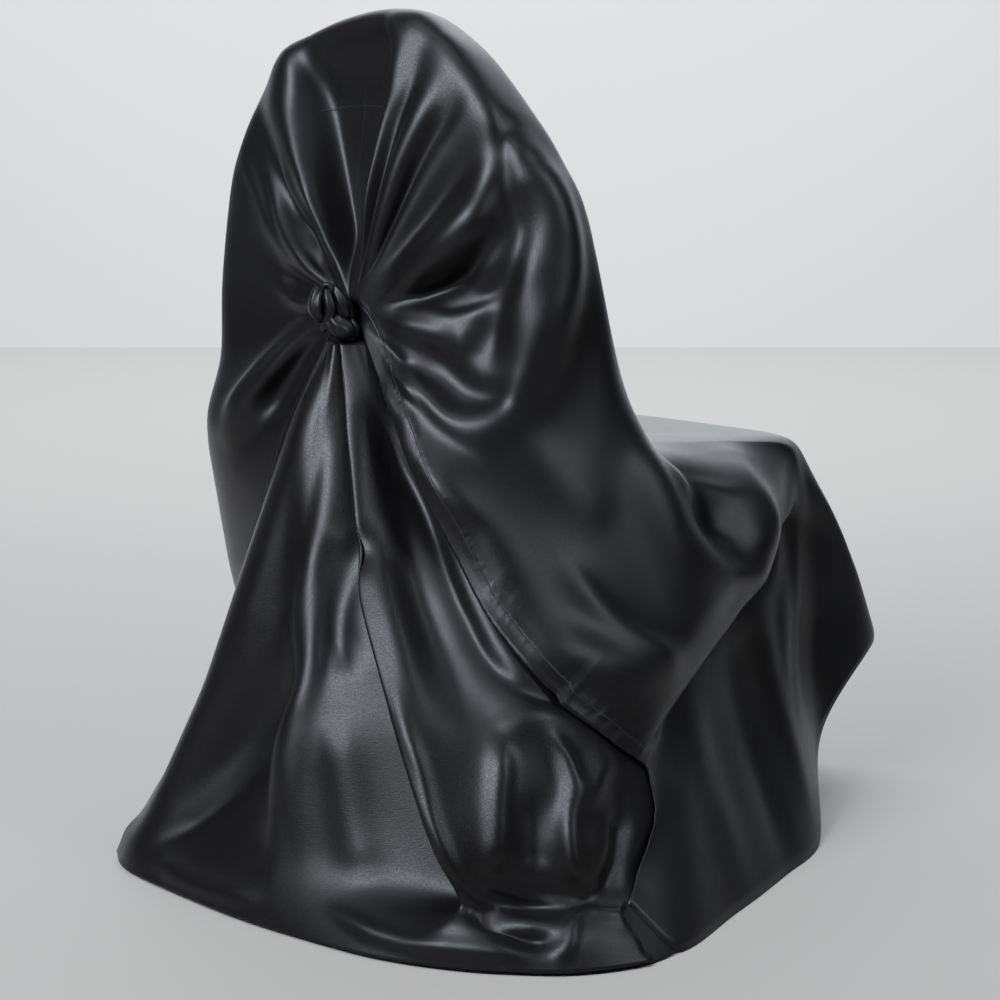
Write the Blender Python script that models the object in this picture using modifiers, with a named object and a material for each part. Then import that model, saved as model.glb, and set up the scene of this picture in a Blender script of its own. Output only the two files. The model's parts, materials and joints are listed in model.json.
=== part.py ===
# Self-tie satin chair cover, draped over a chair that is left out, seen as it hangs.
# Metres, +Z up, floor at z = 0. The chair's front faces -Y and the sitter's right is -X.
# The tables are measured from the floor under the middle of the chair's back. At the end the
# whole cover is moved so that the origin is on the floor in the middle of its box.
#
# The cover is modelled as its cloth runs: every thread line starts at the knot on the back,
# spreads over the hood and the seat, and ends at the floor hem. A row of a table below is one
# such line, and the sheet is a smooth surface through the rows.

import math
from collections import namedtuple

import bpy
import numpy as np
from mathutils import Matrix
from mathutils.bvhtree import BVHTree

# Driving sizes
CLOTH = 0.002              # thickness of the sheets
FLOOR_FADE = 0.08          # height over which a fold's rise fades out towards the floor
SEAT_GAP = 0.00034         # gap between pieces that touch
GATHER = (-0.010, 0.098, 0.612)     # where the cloth is drawn together on the back
GATHER_WIDE = 0.016        # half width of the drawn-in ring
GATHER_HIGH = 0.018        # half height of it

KNOT_LONG = 0.036          # half length of the knot
KNOT_WIDE = 0.023          # half width of it
KNOT_LEAN = 28             # degrees that its top leans towards +X
KNOT_WRAPS = 3             # ridges of the wound cloth round it
WRAP_RISE = 0.0035         # how far a wrap stands out
WRAP_TURNS = 1.3           # how far a wrap winds from end to end
KNOT_TAPER = 0.25          # how much narrower its ends are
KNOT_OUT = 0.08            # where it starts from before it is seated against the cloth

# Mesh columns between neighbouring lines, closest where the pleats are
BODY_COLUMNS = (3, 3, 4, 6, 4, 4, 6, 6, 7, 6, 3, 3, 5, 4, 3, 3)
TRAIN_COLUMNS = (3, 4, 4, 4, 4, 4, 4, 4, 3, 3)

# The lines of the cover, from the right wing's hem round the top to the left wing's hem.
# shoulder: hood's back edge; brow: hood's front edge; foot: where the backrest meets the seat;
# rim: edge of the seat or the swag; under: below the rim; shin: half way down; hem: lower edge.
Line = namedtuple("Line", "name shoulder brow foot rim under tuck shin hem")
RIGHT_LINES = (
    Line("wing hem", (-.165, .150, .420), (-.245, .157, .326), (-.318, .150, .262),
         (-.364, .112, .214), (-.388, .072, .180), (-.392, .052, .160), (-.412, .066, .112), (-.436, .156, .048)),
    Line("wing", (-.195, .108, .475), (-.264, .066, .405), (-.314, .026, .336),
         (-.356, -.015, .268), (-.366, -.020, .205), (-.345, -.020, .190), (-.404, .010, .110), (-.484, .128, .000)),
    Line("side", (-.215, .070, .545), (-.266, -.014, .500), (-.296, -.080, .425),
         (-.350, -.150, .318), (-.340, -.160, .256), (-.296, -.150, .272), (-.366, -.090, .130), (-.464, .010, .000)),
    Line("swag", (-.226, .055, .630), (-.250, -.046, .600), (-.240, -.116, .474),
         (-.328, -.262, .356), (-.316, -.262, .290), (-.268, -.250, .306), (-.342, -.190, .140), (-.442, -.115, .000)),
    Line("seat side", (-.218, .048, .740), (-.222, -.052, .725), (-.194, -.108, .462),
         (-.258, -.384, .420), (-.268, -.392, .350), (-.246, -.376, .350), (-.322, -.310, .150), (-.412, -.242, .000)),
    Line("ear root", (-.198, .047, .790), (-.194, -.050, .778), (-.170, -.105, .459),
         (-.248, -.426, .432), (-.257, -.446, .350), (-.254, -.448, .320), (-.276, -.424, .190), (-.316, -.392, .085)),
    Line("corner", (-.162, .046, .840), (-.158, -.046, .828), (-.140, -.102, .457),
         (-.216, -.454, .436), (-.244, -.506, .340), (-.256, -.528, .290), (-.271, -.556, .228), (-.282, -.574, .166)),
    Line("front side", (-.088, .042, .914), (-.086, -.042, .900), (-.076, -.098, .455),
         (-.112, -.466, .437), (-.118, -.484, .350), (-.120, -.488, .280), (-.122, -.494, .150), (-.130, -.500, .000)),
    Line("middle", (.000, .040, .942), (.000, -.040, .936), (.000, -.098, .455),
         (.000, -.468, .438), (.000, -.484, .350), (.000, -.488, .280), (.000, -.492, .150), (.000, -.498, .000)),
)
LEFT_LINES = (
    Line("left side", (.242, .072, .545), (.262, -.010, .500), (.272, -.085, .425),
         (.322, -.155, .318), (.310, -.160, .262), (.276, -.155, .275), (.335, -.120, .130), (.410, -.080, .000)),
    Line("left wing", (.212, .112, .470), (.246, .084, .440), (.258, .056, .370),
         (.262, .034, .290), (.256, .020, .240), (.240, .015, .215), (.274, .020, .110), (.316, .060, .000)),
    Line("left wing hem", (.062, .124, .470), (.080, .130, .400), (.100, .128, .330),
         (.118, .124, .272), (.135, .118, .240), (.150, .112, .205), (.170, .120, .110), (.190, .190, .000)),
)
# How far the hood's back edge reaches to +X on the lines copied from the right
LEFT_HOOD_REACH = {"swag": .258, "seat side": .247, "ear root": .230, "corner": .200, "front side": .126}
LEG_STEPS = (8, 3, 4, 4, 2, 2, 3, 2)   # mesh steps between two stations of a line
# Half length over which a line's bend at a station is rounded, from the gather to the hem
BENDS = (.015, .034, .030, .045, .030, .014, .014, .034, .004)
BEND_SHARES = (1, 2, 3, 4, 3, 2, 1)    # how much each point near a bend counts in rounding it

# The lines of the train, the back panel below the knot, from its free left edge to the right
# edge that lies under the cover.
Fall = namedtuple("Fall", "name collar high middle low ankle valley roll hem")
FALLS = (
    Fall("left edge", (.014, .112, .568), (.038, .150, .480), (.073, .182, .340),
         (.107, .215, .200), (.142, .250, .095), (.160, .275, .045), (.172, .288, .028), (.180, .296, .0)),
    Fall("left flap", (.008, .118, .566), (.026, .166, .475), (.046, .214, .335),
         (.064, .258, .200), (.092, .294, .095), (.106, .312, .048), (.118, .324, .024), (.126, .330, .0)),
    Fall("left panel", (.004, .122, .565), (.006, .172, .470), (-.010, .214, .330),
         (-.030, .244, .200), (-.030, .278, .095), (-.012, .306, .050), (.008, .334, .024), (.020, .346, .0)),
    Fall("ridge", (-.002, .124, .565), (-.018, .174, .470), (-.050, .226, .330),
         (-.086, .276, .200), (-.100, .306, .095), (-.098, .326, .050), (-.096, .344, .024), (-.094, .354, .0)),
    Fall("right panel", (-.008, .124, .565), (-.040, .162, .470), (-.096, .205, .330),
         (-.150, .252, .200), (-.180, .280, .095), (-.196, .304, .044), (-.212, .334, .034), (-.218, .348, .0)),
    Fall("tail under", (-.016, .112, .566), (-.070, .130, .470), (-.156, .182, .330),
         (-.270, .240, .200), (-.334, .262, .100), (-.318, .262, .046), (-.290, .318, .038), (-.276, .338, .0)),
    Fall("tail edge", (-.014, .122, .566), (-.050, .152, .470), (-.120, .216, .335),
         (-.234, .276, .200), (-.302, .300, .102), (-.324, .278, .048), (-.326, .306, .042), (-.332, .318, .0)),
    Fall("tail", (-.024, .116, .566), (-.080, .132, .470), (-.178, .172, .330),
         (-.286, .222, .200), (-.350, .236, .100), (-.358, .226, .036), (-.374, .272, .045), (-.384, .290, .0)),
    Fall("billow", (-.028, .112, .566), (-.092, .118, .470), (-.205, .132, .330),
         (-.322, .158, .200), (-.400, .180, .100), (-.412, .180, .040), (-.430, .218, .042), (-.446, .240, .0)),
    Fall("right roll", (-.030, .108, .566), (-.100, .104, .470), (-.214, .101, .330),
         (-.328, .095, .200), (-.398, .110, .100), (-.418, .135, .050), (-.452, .176, .030), (-.470, .190, .0)),
    Fall("right edge", (-.032, .104, .566), (-.108, .090, .470), (-.222, .070, .330),
         (-.332, .000, .200), (-.384, .020, .100), (-.402, .040, .046), (-.430, .085, .012), (-.444, .095, .0)),
)
FALL_STEPS = (4, 4, 4, 3, 3, 2, 2)
FALL_BENDS = (.010, .030, .030, .030, .020, .012, .012, .002)

# Pleats that fan out from the gather over the hood. angle is in degrees from straight up,
# positive towards -X; width is half the pleat's angle; start, peak and stop are distances from the
# gather; depth is out of the cloth, so a minus is a valley.
Pleat = namedtuple("Pleat", "name angle width depth start peak stop")
PLEAT_FOOT = 1.6           # half width of a pleat's foot, in its own widths
PLEATED_FROM, PLEATED_TO = -.03, .04   # Y over which the pleats come in, from the top to the back
PLEATS = (
    Pleat("recess", -14, 9, -.022, .03, .12, .33),
    Pleat("recess right side", -3, 6, -.020, .03, .12, .33),
    Pleat("recess lip", -30, 5, .024, .05, .14, .46),
    Pleat("left pleat", -38, 5, .010, .04, .14, .36),
    Pleat("left valley", -47, 4, -.014, .03, .12, .32),
    Pleat("left ridges", -60, 7, .012, .03, .09, .24),
    Pleat("left low hollow", -74, 7, -.008, .03, .08, .18),
    Pleat("left loop", -86, 6, .008, .02, .07, .14),
    Pleat("right lip", 6, 4, .020, .03, .13, .40),
    Pleat("right broad pleat", 17, 5, .012, .03, .13, .34),
    Pleat("right crease", 22.5, 3, -.012, .03, .12, .30),
    Pleat("right thin pleat", 28, 4, .008, .03, .14, .32),
    Pleat("right hollow", 38, 6, -.010, .04, .16, .30),
    Pleat("right plateau", 56, 9, .014, .04, .14, .24),
    Pleat("right side hollow", 76, 7, -.012, .04, .13, .22),
)

# Folds that lie elsewhere on a sheet: a soft ridge (or trough, where depth is a minus) along a
# curve through start, bend and end, with its half width.
Fold = namedtuple("Fold", "name start bend end width depth")
FOLD_POINTS = 25           # points along a fold's curve
FOLD_TIP = 0.02            # share of its length that each tip keeps
BODY_FOLDS = (
    Fold("hood side ridge", (-.215, .000, .758), (-.232, .012, .673), (-.236, .035, .566), .024, .012),
    Fold("hood side hollow", (-.190, .034, .790), (-.210, .046, .735), (-.205, .058, .672), .024, -.010),
    Fold("sling ridge", (-.085, .096, .574), (-.160, .104, .508), (-.222, .076, .506), .016, .014),
    Fold("sling hollow", (-.100, .090, .592), (-.162, .092, .540), (-.208, .072, .536), .015, -.014),
    Fold("sling side", (-.222, .076, .506), (-.236, .045, .550), (-.240, .022, .605), .016, .010),
    Fold("pillow", (-.064, .092, .604), (-.098, .084, .598), (-.138, .078, .590), .016, .014),
    Fold("long hollow", (-.186, .058, .740), (-.154, .069, .673), (-.076, .087, .626), .015, -.014),
    Fold("wing band", (-.070, .108, .556), (-.163, .130, .455), (-.266, .124, .345), .030, .012),
    Fold("wing foot", (-.287, .146, .296), (-.342, .076, .268), (-.360, -.050, .248), .030, .012),
    Fold("wing front ridge", (-.270, -.070, .470), (-.318, -.075, .390), (-.356, -.085, .310), .032, .022),
    Fold("swag hollow", (-.262, -.150, .460), (-.306, -.180, .385), (-.345, -.165, .300), .032, -.034),
    Fold("swag ridge", (-.262, -.260, .428), (-.306, -.268, .380), (-.338, -.240, .300), .028, .012),
    Fold("left wing ridge", (.047, .093, .600), (.110, .108, .533), (.176, .116, .462), .016, .016),
    Fold("left wing hollow", (.045, .095, .582), (.092, .110, .515), (.150, .120, .436), .015, -.012),
    Fold("seat crease", (-.060, -.180, .455), (-.130, -.300, .445), (-.215, -.330, .438), .020, -.005),
    Fold("skirt fold 1", (-.300, -.290, .280), (-.330, -.280, .160), (-.400, -.240, .010), .022, .014),
    Fold("skirt fold 2", (-.330, -.190, .220), (-.370, -.180, .120), (-.430, -.150, .010), .024, -.014),
    Fold("skirt fold 3", (-.360, -.080, .200), (-.390, -.060, .110), (-.450, -.040, .010), .024, .012),
    Fold("front fold 1", (-.120, -.484, .300), (-.125, -.492, .160), (-.130, -.500, .010), .030, .014),
    Fold("front fold 2", (.020, -.486, .330), (.030, -.492, .160), (.040, -.498, .010), .030, -.012),
    Fold("front fold 3", (.130, -.486, .300), (.140, -.492, .160), (.150, -.500, .010), .030, .014),
)
TRAIN_FOLDS = (
    Fold("left hollow", (-.070, .262, .250), (-.005, .262, .168), (.070, .304, .050), .030, -.026),
    Fold("panel ridge", (-.078, .214, .320), (-.088, .288, .150), (-.106, .346, .030), .020, .014),
    Fold("panel hollow", (-.080, .172, .420), (-.082, .212, .335), (-.112, .264, .240), .016, -.012),
    Fold("tail hollow", (-.088, .128, .480), (-.185, .172, .326), (-.290, .214, .205), .030, -.026),
    Fold("tail ridge", (-.070, .146, .460), (-.152, .196, .327), (-.240, .252, .215), .014, .008),
    Fold("billow", (-.292, .205, .205), (-.342, .242, .135), (-.350, .272, .070), .028, .020),
    Fold("billow hollow", (-.345, .170, .200), (-.368, .215, .120), (-.385, .240, .060), .018, -.012),
    Fold("right billow", (-.362, .120, .190), (-.392, .180, .120), (-.412, .205, .055), .022, .016),
    Fold("floor hollow", (-.120, .318, .060), (-.240, .310, .050), (-.330, .290, .045), .022, -.012),
)


def between(keys, rows, query):
    """Smooth cubic through rows of values at keys, read at the query positions."""
    keys = np.asarray(keys, float)
    rows = np.asarray(rows, float)
    slopes = np.gradient(rows, keys, axis=0)
    spot = np.clip(np.searchsorted(keys, query, side="right") - 1, 0, len(keys) - 2)
    span = keys[spot + 1] - keys[spot]
    f = ((query - keys[spot]) / span).reshape((-1,) + (1,) * (rows.ndim - 1))
    span = span.reshape(f.shape)
    start, end = rows[spot], rows[spot + 1]
    leave, arrive = slopes[spot] * span, slopes[spot + 1] * span
    return (start * (2 * f**3 - 3 * f**2 + 1) + leave * (f**3 - 2 * f**2 + f)
            + end * (3 * f**2 - 2 * f**3) + arrive * (f**3 - f**2))


def walk(stations, steps, bends):
    """Points along the path through the stations, with each station's bend rounded."""
    lengths = np.linalg.norm(np.diff(stations, axis=0), axis=1)
    reach = np.concatenate([[0.0], np.cumsum(lengths)])
    spots = [reach[i] + lengths[i] * k / n for i, n in enumerate(steps) for k in range(n)]
    spots = np.array(spots + [reach[-1]])
    half = np.minimum(np.interp(spots, reach, bends), np.minimum(spots, reach[-1] - spots))
    path = np.zeros((len(spots), 3))
    shares = np.array(BEND_SHARES) / sum(BEND_SHARES)
    for share, offset in zip(shares, np.linspace(-1, 1, len(shares))):
        for axis in range(3):
            path[:, axis] += share * np.interp(spots + offset * half, reach, stations[:, axis])
    return path


def smoothstep(low, high, value):
    f = np.clip((value - low) / (high - low), 0, 1)
    return f * f * (3 - 2 * f)


def mirrored(line):
    flip = [(-x, y, z) for x, y, z in line[1:]]
    reach = LEFT_HOOD_REACH[line.name]
    flip[0] = (reach, *flip[0][1:])
    flip[1] = (reach - .004, *flip[1][1:])
    return Line("left " + line.name, *flip)


def cover_lines():
    copies = [mirrored(line) for line in reversed(RIGHT_LINES[3:-1])]
    return RIGHT_LINES + tuple(copies) + LEFT_LINES


def gather_ring(aims):
    """Start of each line: a small ring round the gather, on the side that the line leaves by."""
    centre = np.array(GATHER)
    turn = np.arctan2(aims[:, 0] - centre[0], aims[:, 2] - centre[2])
    ring = np.zeros_like(aims)
    ring[:, 0] = centre[0] + GATHER_WIDE * np.sin(turn)
    ring[:, 1] = centre[1]
    ring[:, 2] = centre[2] + GATHER_HIGH * np.cos(turn)
    return ring


def normals_of(grid):
    across = np.gradient(grid, axis=1)
    down = np.gradient(grid, axis=0)
    n = np.cross(down, across)
    return n / np.maximum(np.linalg.norm(n, axis=2, keepdims=True), 1e-9)


def pleat_height(grid):
    dx = grid[..., 0] - GATHER[0]
    dz = grid[..., 2] - GATHER[2]
    reach = np.hypot(dx, dz)
    turn = np.degrees(np.arctan2(-dx, dz))
    on_back = smoothstep(PLEATED_FROM, PLEATED_TO, grid[..., 1])
    total = np.zeros(reach.shape)
    for p in PLEATS:
        side = np.clip(np.abs(turn - p.angle) / (PLEAT_FOOT * p.width), 0, 1)
        across = np.cos(side * math.pi / 2) ** 2
        along = smoothstep(p.start, p.peak, reach) * (1 - smoothstep(p.peak, p.stop, reach))
        total += p.depth * across * along
    return total * on_back


def fold_height(grid, folds):
    total = np.zeros(grid.shape[:2])
    t = np.linspace(0, 1, FOLD_POINTS)[:, None]
    for fold in folds:
        a, b, c = (np.array(p) for p in (fold.start, fold.bend, fold.end))
        curve = (1 - t)**2 * a + 2 * t * (1 - t) * (2 * b - (a + c) / 2) + t**2 * c
        gap = np.linalg.norm(grid[:, :, None, :] - curve, axis=3)
        near = gap.argmin(axis=2) / (FOLD_POINTS - 1)
        fade = np.sin(np.clip(near, FOLD_TIP, 1 - FOLD_TIP) * math.pi) ** 0.5
        total += fold.depth * fade * np.exp(-(gap.min(axis=2) / fold.width) ** 2)
    return total


def places_between(columns):
    """Positions along the row of lines: so many steps from each line to the next."""
    places = [i + k / n for i, n in enumerate(columns) for k in range(n)]
    return np.array(places + [len(columns)])


def raised(grid, height):
    """The sheet moved out along its normals, with its hem left on the floor."""
    moved = normals_of(grid) * height[..., None]
    moved[..., 2] *= smoothstep(0, FLOOR_FADE, grid[..., 2])
    return grid + moved


def cover_grid():
    lines = cover_lines()
    table = np.array([line[1:] for line in lines])
    stations = between(np.arange(len(lines)), table, places_between(BODY_COLUMNS))
    stations[..., 2] = np.maximum(stations[..., 2], 0)
    starts = gather_ring(stations[:, 0])
    columns = [walk(np.vstack([start, column]), LEG_STEPS, BENDS)
               for start, column in zip(starts, stations)]
    grid = np.stack(columns, axis=1)
    return raised(grid, pleat_height(grid) + fold_height(grid, BODY_FOLDS))


def train_grid(lift):
    """The train, with its drawn-in top raised by lift."""
    table = np.array([fall[1:] for fall in FALLS])
    table[:, 0, 2] += lift
    stations = between(np.arange(len(FALLS)), table, places_between(TRAIN_COLUMNS))
    stations[..., 2] = np.maximum(stations[..., 2], 0)
    columns = [walk(column, FALL_STEPS, FALL_BENDS) for column in stations]
    grid = np.stack(columns, axis=1)
    return raised(grid, fold_height(grid, TRAIN_FOLDS))


def satin():
    mat = bpy.data.materials.new("black_satin")
    mat.use_nodes = True
    shader = mat.node_tree.nodes["Principled BSDF"]
    shader.inputs["Base Color"].default_value = (0.012, 0.011, 0.013, 1)
    shader.inputs["Roughness"].default_value = 0.38
    shader.inputs["Metallic"].default_value = 0.0
    return mat


def make_sheet(name, grid, material, collection):
    """A grid primitive laid on the points of the drape, given the cloth's thickness."""
    rows, columns = grid.shape[:2]
    bpy.ops.mesh.primitive_grid_add(x_subdivisions=columns - 1, y_subdivisions=rows - 1, size=2)
    obj = bpy.context.object
    obj.name = name
    obj.data.name = name
    for vertex in obj.data.vertices:
        column = round((vertex.co.x + 1) / 2 * (columns - 1))
        row = round((vertex.co.y + 1) / 2 * (rows - 1))
        vertex.co = grid[row, column]
    wall = obj.modifiers.new("cloth", "SOLIDIFY")
    wall.thickness = CLOTH
    wall.offset = 0
    finish(obj, material, collection)
    lowest = min(corner.z for corner in surface_of(obj)[0])
    obj.data.transform(Matrix.Translation((0, 0, -lowest)))
    bpy.context.view_layer.update()
    return obj


def finish(obj, material, collection):
    obj.data.materials.append(material)
    obj.data.shade_smooth()
    for owner in obj.users_collection:
        owner.objects.unlink(obj)
    collection.objects.link(obj)
    bpy.context.view_layer.update()
    return obj


def make_knot(material, collection):
    """The tied bundle: a long ball with the cloth's wraps wound round it."""
    bpy.ops.mesh.primitive_uv_sphere_add(segments=24, ring_count=16, radius=1)
    obj = bpy.context.object
    obj.name = "knot"
    obj.data.name = "knot"
    for vertex in obj.data.vertices:
        x, y, z = vertex.co
        turn = math.atan2(y, x)
        wrap = math.cos(KNOT_WRAPS * WRAP_TURNS * math.pi * z + turn) * (1 - z * z)
        wide = KNOT_WIDE * (1 - KNOT_TAPER * z * z) + WRAP_RISE * wrap
        vertex.co = (x * wide, y * wide, z * KNOT_LONG)
    obj.data.transform(Matrix.Rotation(math.radians(KNOT_LEAN), 4, "Y"))
    obj.data.transform(Matrix.Translation((GATHER[0], GATHER[1] + KNOT_OUT, GATHER[2])))
    return finish(obj, material, collection)


def surface_of(obj):
    mesh = obj.evaluated_get(bpy.context.evaluated_depsgraph_get()).to_mesh()
    corners = [obj.matrix_world @ v.co for v in mesh.vertices]
    faces = [tuple(f.vertices) for f in mesh.polygons]
    return corners, BVHTree.FromPolygons(corners, faces)


def gap_between(a, b):
    """Smallest distance from the corners of one surface to the other; 0 where they cross."""
    (corners_a, tree_a), (corners_b, tree_b) = a, b
    if tree_a.overlap(tree_b):
        return 0.0
    return min([tree_b.find_nearest(c)[3] for c in corners_a]
               + [tree_a.find_nearest(c)[3] for c in corners_b])


def closest(gap_at, far):
    """Largest shift up to far that leaves SEAT_GAP, where gap_at gives the gap left by a shift."""
    near = 0.0
    for _ in range(14):
        middle = (near + far) / 2
        if gap_at(middle) > SEAT_GAP:
            near = middle
        else:
            far = middle
    return near


def seat_knot(knot, body):
    """Moves the knot towards the gathered cloth until it all but touches."""
    rest = surface_of(body)

    def gap_at(shift):
        knot.location.y = -shift
        bpy.context.view_layer.update()
        return gap_between(surface_of(knot), rest)

    shift = closest(gap_at, .10)
    knot.location.y = 0
    knot.data.transform(Matrix.Translation((0, -shift, 0)))
    bpy.context.view_layer.update()


def seat_train(knot, material, collection):
    """The train with its top raised under the knot until it all but touches."""
    above = surface_of(knot)

    def gap_at(lift):
        trial = make_sheet("trial", train_grid(lift), material, collection)
        gap = gap_between(surface_of(trial), above)
        bpy.data.objects.remove(trial)
        return gap

    return make_sheet("back_train", train_grid(closest(gap_at, .03)), material, collection)


def centre_on_floor(pieces):
    """Moves every piece so that the origin is under the middle of the box round them all."""
    corners = np.array([corner for piece in pieces for corner in surface_of(piece)[0]])
    middle = (corners.min(axis=0) + corners.max(axis=0)) / 2
    for piece in pieces:
        piece.data.transform(Matrix.Translation((-middle[0], -middle[1], 0)))
    bpy.context.view_layer.update()


def main():
    for obj in list(bpy.data.objects):
        bpy.data.objects.remove(obj)
    cover = bpy.data.collections.new("chair_cover")
    bpy.context.scene.collection.children.link(cover)
    material = satin()
    body = make_sheet("cover_body", cover_grid(), material, cover)
    knot = make_knot(material, cover)
    seat_knot(knot, body)
    train = seat_train(knot, material, cover)
    centre_on_floor([body, knot, train])


main()
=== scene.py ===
import json
import math
from collections import namedtuple

import bpy
import numpy as np
from mathutils import Matrix, Vector
from mathutils.kdtree import KDTree


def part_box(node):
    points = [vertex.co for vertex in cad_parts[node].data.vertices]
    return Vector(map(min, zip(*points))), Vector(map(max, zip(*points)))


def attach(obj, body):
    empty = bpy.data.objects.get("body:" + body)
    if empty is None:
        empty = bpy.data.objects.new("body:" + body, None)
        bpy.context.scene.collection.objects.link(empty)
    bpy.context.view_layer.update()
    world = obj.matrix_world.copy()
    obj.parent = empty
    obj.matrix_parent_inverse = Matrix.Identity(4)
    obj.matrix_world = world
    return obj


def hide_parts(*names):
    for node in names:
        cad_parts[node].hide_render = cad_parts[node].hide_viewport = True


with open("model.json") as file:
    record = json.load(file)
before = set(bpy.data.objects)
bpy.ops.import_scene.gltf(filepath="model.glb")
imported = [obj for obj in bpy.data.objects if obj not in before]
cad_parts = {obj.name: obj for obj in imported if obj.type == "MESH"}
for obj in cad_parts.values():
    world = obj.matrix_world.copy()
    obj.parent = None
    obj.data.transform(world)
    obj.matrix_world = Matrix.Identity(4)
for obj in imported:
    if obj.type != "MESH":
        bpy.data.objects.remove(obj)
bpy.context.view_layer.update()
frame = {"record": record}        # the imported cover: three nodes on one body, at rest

# The tables below are measured from the floor under the middle of the hood.
# The mount inside the hood's top says where that is in the frame.
mountInTables = Vector((0, 0, .935))
hoodMount = next(m for m in frame["record"]["mounts"] if m["name"] == "chair_top")
tableOrigin = Vector(hoodMount["pos_m"]) - mountInTables
gather = np.array((-.010, .098, .612))      # where the cloth is drawn together on the back


# Camera and room

camera = {
    "eye": (-1.752, 1.924, .865),      # in the tables' measure
    "turn": 40,                        # degrees from straight behind the cover
    "tilt": 10.4,                      # degrees down
    "lens": 82.8,
    "sensor": 36,
}


def cameraSides():
    # level directions to the camera's right and towards the camera
    turn = math.radians(camera["turn"])
    return np.array((-math.cos(turn), -math.sin(turn), 0)), np.array((-math.sin(turn), math.cos(turn), 0))


def makeCamera():
    turn, tilt = math.radians(camera["turn"]), math.radians(camera["tilt"])
    look = Vector((math.sin(turn) * math.cos(tilt), -math.cos(turn) * math.cos(tilt), -math.sin(tilt)))
    bpy.ops.object.camera_add(location=Vector(camera["eye"]) + tableOrigin)
    eye = bpy.context.object
    eye.name = "photo_camera"
    eye.rotation_euler = look.to_track_quat("-Z", "Y").to_euler()
    eye.data.lens = camera["lens"]
    eye.data.sensor_width = camera["sensor"]
    bpy.context.scene.camera = eye
    print("camera set")


# place and aim are in metres to the camera's right, towards the camera and up, from under the
# cover's middle, and power is in watts
softBoxes = {
    "key": {"place": (-1.35, 1.85, 2.1), "aim": (0, 0, .5), "size": (1.05, 1.05), "power": 135},
    "high": {"place": (-.3, .7, 3.0), "aim": (0, 0, .5), "size": (1.2, 1.2), "power": 16},
    "right": {"place": (1.8, 1.3, 2.2), "aim": (0, 0, .5), "size": (.8, 1.6), "power": 44},
    "back": {"place": (1.0, -1.6, 2.6), "aim": (0, 0, .6), "size": (1.6, 1.0), "power": 7},
    "wall": {"place": (0, -2.6, 3.4), "aim": (0, -4.6, 1.0), "size": (4.0, 1.0), "power": 520},
}
lampColour = (.87, .92, 1)
room = {
    "floor": (.42, .40, .375),
    "wall": (.86, .87, .88),
    "air": (.80, .82, .86),
    "airStrength": .03,
    "floorHalf": 9,
    "wallBack": 4.8,
    "wallSize": (16, 7),
    "rough": .7,
    "middle": (0, -.1, 0),             # under the cover's middle, in the tables' measure
}


def plainPaint(name, colour):
    pale = bpy.data.materials.new(name)
    pale.use_nodes = True
    shader = pale.node_tree.nodes["Principled BSDF"]
    shader.inputs["Base Color"].default_value = (*colour, 1)
    shader.inputs["Roughness"].default_value = room["rough"]
    return pale


def makeRoom():
    right, near = (Vector(side) for side in cameraSides())
    middle = tableOrigin + Vector(room["middle"])

    def spot(place):
        return middle + right * place[0] + near * place[1] + Vector((0, 0, place[2]))

    for name, box in softBoxes.items():
        place, aim = spot(box["place"]), spot(box["aim"])
        bpy.ops.object.light_add(type="AREA", location=place)
        lamp = bpy.context.object
        lamp.name = name + "_soft_box"
        lamp.rotation_euler = (aim - place).to_track_quat("-Z", "Y").to_euler()
        lamp.data.shape = "RECTANGLE"
        lamp.data.size, lamp.data.size_y = box["size"]
        lamp.data.energy = box["power"]
        lamp.data.color = lampColour
    bpy.ops.object.select_all(action="DESELECT")
    bpy.ops.mesh.primitive_plane_add(size=2 * room["floorHalf"], location=(0, 0, 0))
    floor = bpy.context.object
    floor.name = "studio_floor"
    floor.data.materials.append(plainPaint("pale_floor", room["floor"]))
    bpy.ops.object.select_all(action="DESELECT")
    wallMiddle = spot((0, -room["wallBack"], room["wallSize"][1] / 2))
    bpy.ops.mesh.primitive_plane_add(size=1, location=wallMiddle)
    wall = bpy.context.object
    wall.name = "studio_wall"
    wall.scale = (*room["wallSize"], 1)
    wall.rotation_euler = (math.pi / 2, 0, math.pi + math.radians(camera["turn"]))
    bpy.ops.object.transform_apply(location=True, rotation=True, scale=True)
    wall.data.materials.append(plainPaint("pale_wall", room["wall"]))
    air = bpy.data.worlds.new("studio_air")
    air.use_nodes = True
    air.node_tree.nodes["Background"].inputs["Color"].default_value = (*room["air"], 1)
    air.node_tree.nodes["Background"].inputs["Strength"].default_value = room["airStrength"]
    bpy.context.scene.world = air
    print("room set")


# Satin

class Wire:                            # a socket that Python's own signs work on
    def __init__(self, paint, socket):
        self.paint = paint
        self.socket = socket

    def reckon(self, operation, *values):
        return self.paint.node("ShaderNodeMath", {"operation": operation}, *values)

    def __add__(self, other):
        return self.reckon("ADD", self, other)

    def __radd__(self, other):
        return self.reckon("ADD", other, self)

    def __sub__(self, other):
        return self.reckon("SUBTRACT", self, other)

    def __rsub__(self, other):
        return self.reckon("SUBTRACT", other, self)

    def __mul__(self, other):
        return self.reckon("MULTIPLY", self, other)

    def __rmul__(self, other):
        return self.reckon("MULTIPLY", other, self)

    def __truediv__(self, other):
        return self.reckon("DIVIDE", self, other)

    def __rtruediv__(self, other):
        return self.reckon("DIVIDE", other, self)

    def __abs__(self):
        return self.reckon("ABSOLUTE", self)


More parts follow.
